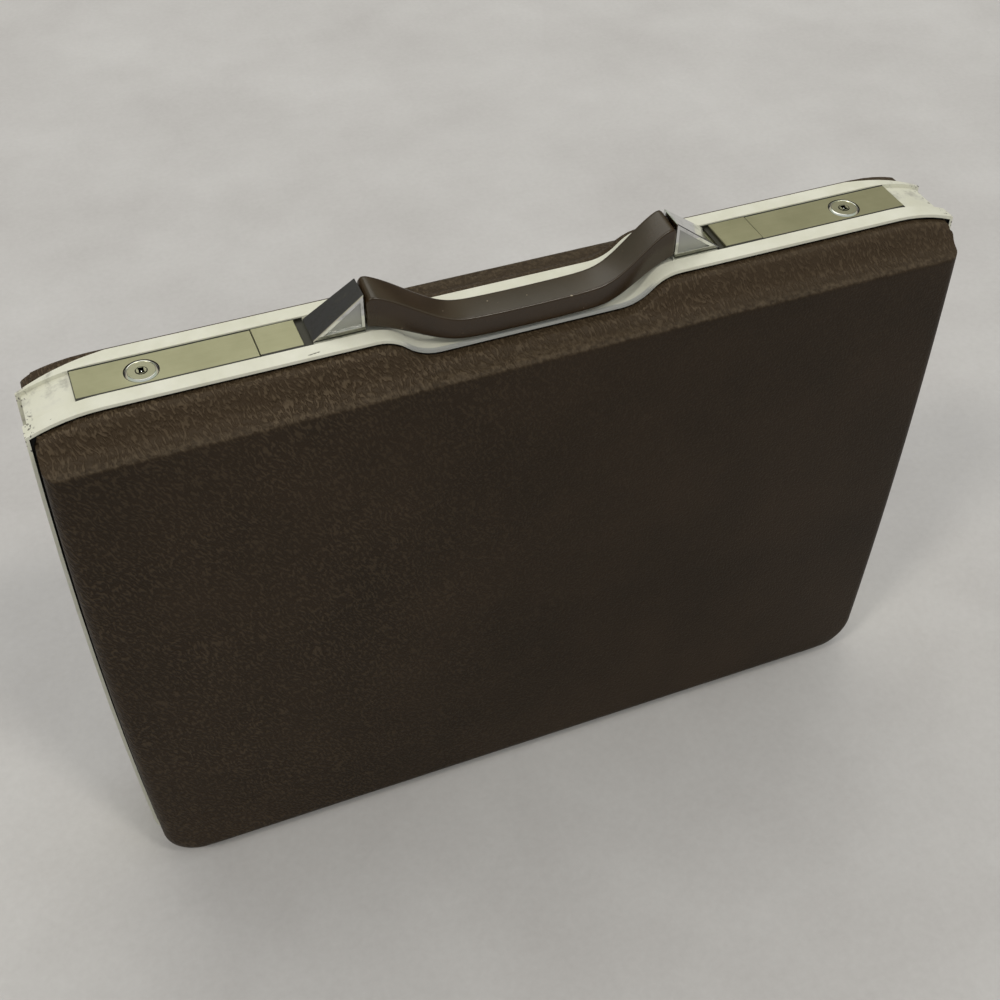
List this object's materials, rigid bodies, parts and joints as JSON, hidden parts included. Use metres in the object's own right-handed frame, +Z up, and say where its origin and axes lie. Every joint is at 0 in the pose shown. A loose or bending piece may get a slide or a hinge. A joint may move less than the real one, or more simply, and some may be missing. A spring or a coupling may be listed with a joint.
{
  "type": "briefcase",
  "caption": "Hard-sided attache case: two grained shells in a painted metal frame, folding bail handle between chromed wedges, sliding latch buttons, keyed locks, bottom hinges.",
  "frame": {"origin": "centre of the footprint, on the surface that the case stands on", "axes": "+X along the width, +Y from the lid at the front towards the base shell at the rear, +Z up, towards the handle"},
  "size_m": [0.4608, 0.077, 0.3441],
  "materials": {
    "painted_frame": "satin paint",
    "grained_shell": "leather grain",
    "lining_fabric": "woven",
    "handle_plastic": "satin",
    "chromed_bracket": "polished",
    "anodised_plate": "satin anodised",
    "plated_steel": "satin",
    "spring_steel": "drawn",
    "rivet_aluminium": "satin",
    "foot_stud": "domed stud"
  },
  "bodies": {
    "base": {"base_frame": "painted_frame", "base_shell": "grained_shell", "base_lining": "lining_fabric", "hinge_leaf_base": "plated_steel", "hinge_pins": "plated_steel", "hinge_rivets_base": "rivet_aluminium", "feet_base": "foot_stud", "stay_posts_base": "plated_steel", "lock_plate_left": "anodised_plate", "lock_plate_right": "anodised_plate", "lock_face_left": "chromed_bracket", "lock_face_right": "chromed_bracket", "lock_case_left": "plated_steel", "lock_case_right": "plated_steel", "latch_spring_left": "spring_steel", "latch_spring_right": "spring_steel", "handle_bracket_left": "chromed_bracket", "handle_bracket_right": "chromed_bracket", "bracket_rivets_left": "rivet_aluminium", "bracket_rivets_right": "rivet_aluminium", "handle_pin_left": "plated_steel", "handle_pin_right": "plated_steel"},
    "lid": {"lid_frame": "painted_frame", "lid_shell": "grained_shell", "lid_lining": "lining_fabric", "hinge_leaf_lid": "plated_steel", "hinge_rivets_lid": "rivet_aluminium", "feet_lid": "foot_stud", "document_pocket": "lining_fabric", "pocket_gusset": "lining_fabric", "stay_posts_lid": "plated_steel", "catch_left": "plated_steel", "catch_right": "plated_steel"},
    "handle": {"handle_grip": "handle_plastic"},
    "latch_left": {"latch_button_left": "anodised_plate", "latch_bolt_left": "plated_steel"},
    "key_left": {"key_plug_left": "chromed_bracket"},
    "stay_lower_left": {"stay_lower_left": "plated_steel", "stay_elbow_left": "plated_steel"},
    "stay_upper_left": {"stay_upper_left": "plated_steel"},
    "latch_right": {"latch_button_right": "anodised_plate", "latch_bolt_right": "plated_steel"},
    "key_right": {"key_plug_right": "chromed_bracket"},
    "stay_lower_right": {"stay_lower_right": "plated_steel", "stay_elbow_right": "plated_steel"},
    "stay_upper_right": {"stay_upper_right": "plated_steel"}
  },
  "joints": [
    {"name": "lid_hinge", "type": "hinge", "parent": "base", "child": "lid", "pos_m": [0, -0.0135, 0.0024], "axis": [1, 0, 0], "range_deg": [0, 95]},
    {"name": "handle_swing", "type": "hinge", "parent": "base", "child": "handle", "pos_m": [0, -0.0055, 0.3352], "axis": [-1, 0, 0], "range_deg": [0, 270]},
    {"name": "latch_left", "type": "slide", "parent": "base", "child": "latch_left", "axis": [1, 0, 0], "range_m": [0, 0.0037], "stiffness_N_per_m": 400},
    {"name": "key_left", "type": "hinge", "parent": "base", "child": "key_left", "pos_m": [-0.1756, -0.003, 0.3239], "axis": [0, 0, 1], "range_deg": [0, 90]},
    {"name": "stay_lower_left", "type": "hinge", "parent": "base", "child": "stay_lower_left", "pos_m": [-0.2122, 0.002, 0.07], "axis": [1, 0, 0], "range_deg": [0, 95]},
    {"name": "stay_upper_left", "type": "hinge", "parent": "stay_lower_left", "child": "stay_upper_left", "pos_m": [-0.2122, -0.001, 0.2], "axis": [1, 0, 0], "range_deg": [-95, 0]},
    {"name": "latch_right", "type": "slide", "parent": "base", "child": "latch_right", "axis": [-1, 0, 0], "range_m": [0, 0.0037], "stiffness_N_per_m": 400},
    {"name": "key_right", "type": "hinge", "parent": "base", "child": "key_right", "pos_m": [0.1756, -0.003, 0.3239], "axis": [0, 0, 1], "range_deg": [0, 90]},
    {"name": "stay_lower_right", "type": "hinge", "parent": "base", "child": "stay_lower_right", "pos_m": [0.2122, 0.002, 0.07], "axis": [1, 0, 0], "range_deg": [0, 95]},
    {"name": "stay_upper_right", "type": "hinge", "parent": "stay_lower_right", "child": "stay_upper_right", "pos_m": [0.2122, -0.001, 0.2], "axis": [1, 0, 0], "range_deg": [-95, 0]}
  ],
  "couplings": [
    {"joint": "stay_lower_left", "follows": "lid_hinge", "ratio": 1},
    {"joint": "stay_upper_left", "follows": "lid_hinge", "ratio": -1},
    {"joint": "stay_lower_right", "follows": "lid_hinge", "ratio": 1},
    {"joint": "stay_upper_right", "follows": "lid_hinge", "ratio": -1}
  ]
}
